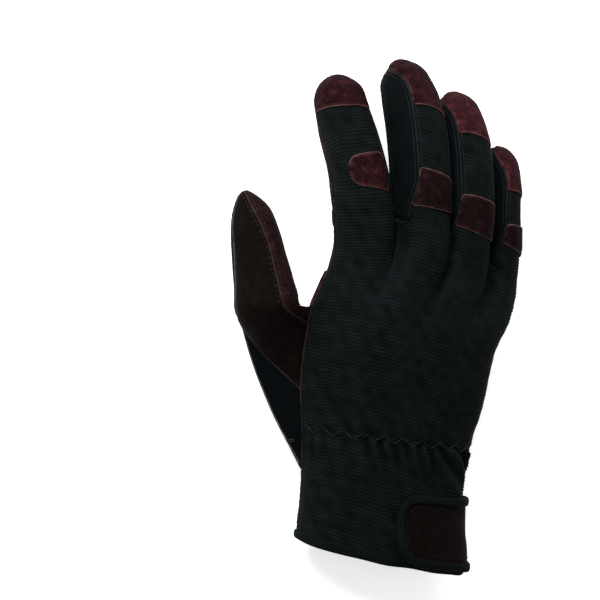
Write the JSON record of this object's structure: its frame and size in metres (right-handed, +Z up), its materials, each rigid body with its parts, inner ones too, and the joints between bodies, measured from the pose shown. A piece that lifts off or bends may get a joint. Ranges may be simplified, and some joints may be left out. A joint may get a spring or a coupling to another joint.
{
  "type": "leather work glove",
  "caption": "Right-hand work glove with a ribbed stretch back, leather palm, leather thumb, fingertip caps and knuckle patches, smooth side gussets, a bound hem and a wrist tab.",
  "frame": {"origin": "on the surface it rests on, under the middle of the glove as it lies palm down", "axes": "+Y from the cuff to the fingertips, +Z up through the back of the hand, +X to the little finger"},
  "size_m": [0.1544, 0.251, 0.0482],
  "materials": {
    "ribbed_cloth": "black ribbed stretch cloth, matt",
    "smooth_cloth": "black smooth stretch cloth, soft sheen",
    "binding_cloth": "black woven binding tape",
    "palm_leather": "dark brown-maroon split leather, napped and mottled",
    "red_leather": "dark maroon split leather, napped, lighter where rubbed",
    "brown_leather": "dark grey-brown split leather, napped"
  },
  "bodies": {
    "root": {"back_panel": "ribbed_cloth", "palm_panel": "palm_leather", "gusset_index_middle": "smooth_cloth", "gusset_middle_ring": "smooth_cloth", "gusset_ring_little": "smooth_cloth", "thumb_back": "brown_leather", "thumb_side": "smooth_cloth", "thumb_front": "palm_leather", "palm_patch": "red_leather", "thumb_crotch_patch": "red_leather", "hem_binding": "binding_cloth", "wrist_tab": "brown_leather", "tab_binding": "binding_cloth", "tip_cap_index": "red_leather", "knuckle_patch_index": "red_leather", "tip_cap_middle": "red_leather", "knuckle_patch_middle": "red_leather", "tip_cap_ring": "red_leather", "knuckle_patch_ring": "red_leather", "tip_cap_little": "red_leather", "knuckle_patch_little": "red_leather"}
  },
  "joints": []
}
